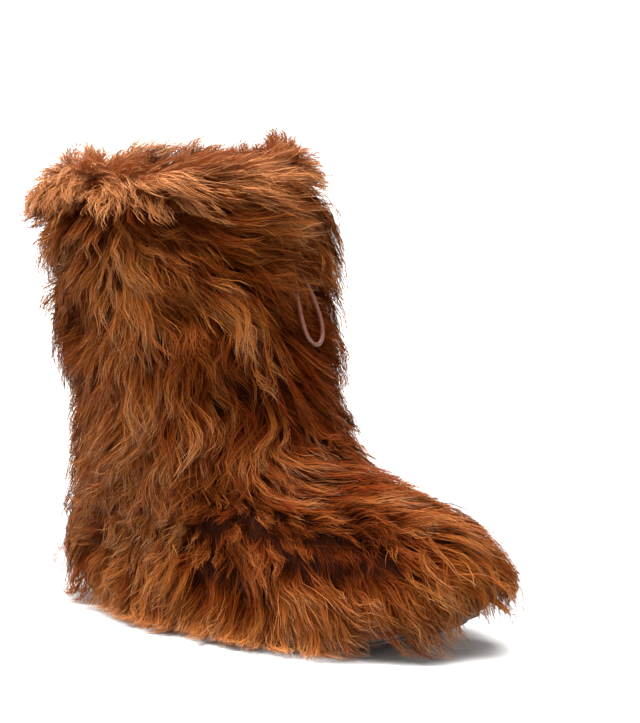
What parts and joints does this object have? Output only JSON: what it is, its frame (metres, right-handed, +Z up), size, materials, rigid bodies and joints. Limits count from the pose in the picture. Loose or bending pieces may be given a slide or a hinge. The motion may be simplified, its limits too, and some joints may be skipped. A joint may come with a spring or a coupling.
{
  "type": "sheepskin ankle boot",
  "caption": "Right-foot ankle boot of long-haired sheepskin worn hair side out, on a lugged rubber outsole with a suede rand and a drawcord loop at the front.",
  "frame": {"origin": "on the floor under the middle of the heel", "axes": "+X towards the toe, +Y to the wearer's left, which is the medial side of this right boot, +Z up"},
  "size_m": [0.3009, 0.1568, 0.2825],
  "materials": {
    "outsole_rubber": "dull moulded rubber",
    "rand_suede": "napped suede",
    "footbed_shearling": "short curly shearling",
    "upper_hide": "sheepskin hide",
    "long_fleece": "long wavy dyed fleece",
    "drawcord_leather": "thin round leather cord"
  },
  "bodies": {
    "root": {"outsole": "outsole_rubber", "rand": "rand_suede", "footbed": "footbed_shearling", "upper": "upper_hide", "foot_fleece": "long_fleece", "shaft_fleece": "long_fleece", "collar_fleece": "long_fleece", "drawcord_loop": "drawcord_leather"}
  },
  "joints": []
}
